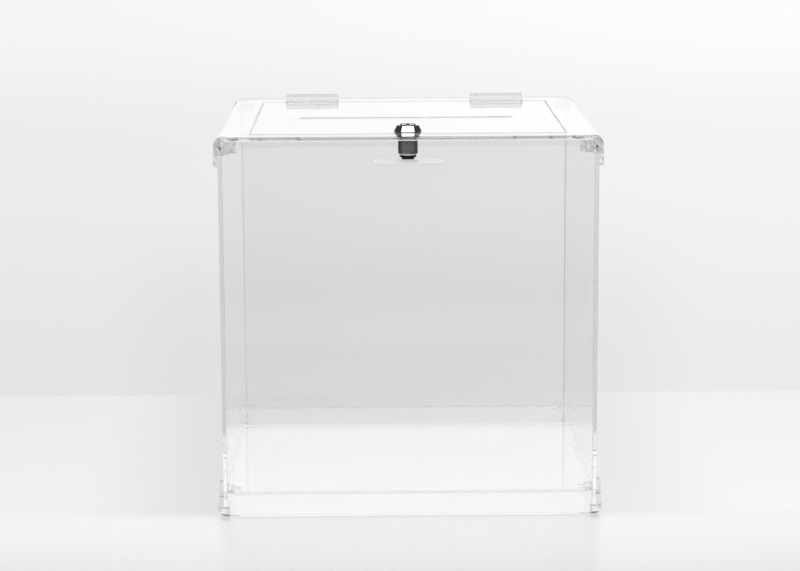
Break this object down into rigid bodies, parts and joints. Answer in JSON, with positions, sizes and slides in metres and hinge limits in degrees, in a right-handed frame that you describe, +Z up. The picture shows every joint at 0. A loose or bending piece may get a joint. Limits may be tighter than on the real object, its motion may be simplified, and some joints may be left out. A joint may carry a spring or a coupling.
{
  "type": "ballot box",
  "caption": "Clear box with a raised base, a slotted lid on two rear hinges, clear corner clips and a cam lock at the front of the lid.",
  "frame": {"origin": "on the table under the middle of the box", "axes": "+Z up, -Y towards the front, where the lock is, and +X to the right seen from the front"},
  "size_m": [0.309, 0.309, 0.3134],
  "materials": {
    "clear_sheet": "polished clear sheet with cut edges",
    "clear_moulding": "clear injection moulding",
    "clear_hinge": "clear injection moulding",
    "lock_chrome": "bright plated die casting",
    "lock_steel": "plated steel"
  },
  "bodies": {
    "box": {"front_panel": "clear_sheet", "back_panel": "clear_sheet", "left_panel": "clear_sheet", "right_panel": "clear_sheet", "base_panel": "clear_sheet", "top_frame": "clear_sheet", "lid_rest_strip": "clear_sheet", "cam_shelf": "clear_sheet", "top_clip_front_left": "clear_moulding", "top_clip_front_right": "clear_moulding", "top_clip_rear_left": "clear_moulding", "top_clip_rear_right": "clear_moulding", "base_clip_front_left": "clear_moulding", "base_clip_front_right": "clear_moulding", "base_clip_rear_left": "clear_moulding", "base_clip_rear_right": "clear_moulding", "hinge_left_frame_leaf": "clear_hinge", "hinge_right_frame_leaf": "clear_hinge", "hinge_left_pin": "clear_hinge", "hinge_right_pin": "clear_hinge"},
    "lid": {"lid": "clear_sheet", "hinge_left_lid_leaf": "clear_hinge", "hinge_right_lid_leaf": "clear_hinge", "lock_housing": "lock_chrome", "lock_nut": "lock_steel"},
    "lock": {"lock_plug": "lock_chrome", "stop_washer": "lock_steel", "lock_cam": "lock_steel", "cam_screw": "lock_steel"}
  },
  "joints": [
    {"name": "lid_hinge", "type": "hinge", "parent": "box", "child": "lid", "pos_m": [0, 0.1205, 0.3104], "axis": [-1, 0, 0], "range_deg": [0, 188]},
    {"name": "lock_turn", "type": "hinge", "parent": "lid", "child": "lock", "pos_m": [0, -0.114, 0.29], "axis": [0, 0, 1], "range_deg": [0, 180]}
  ]
}
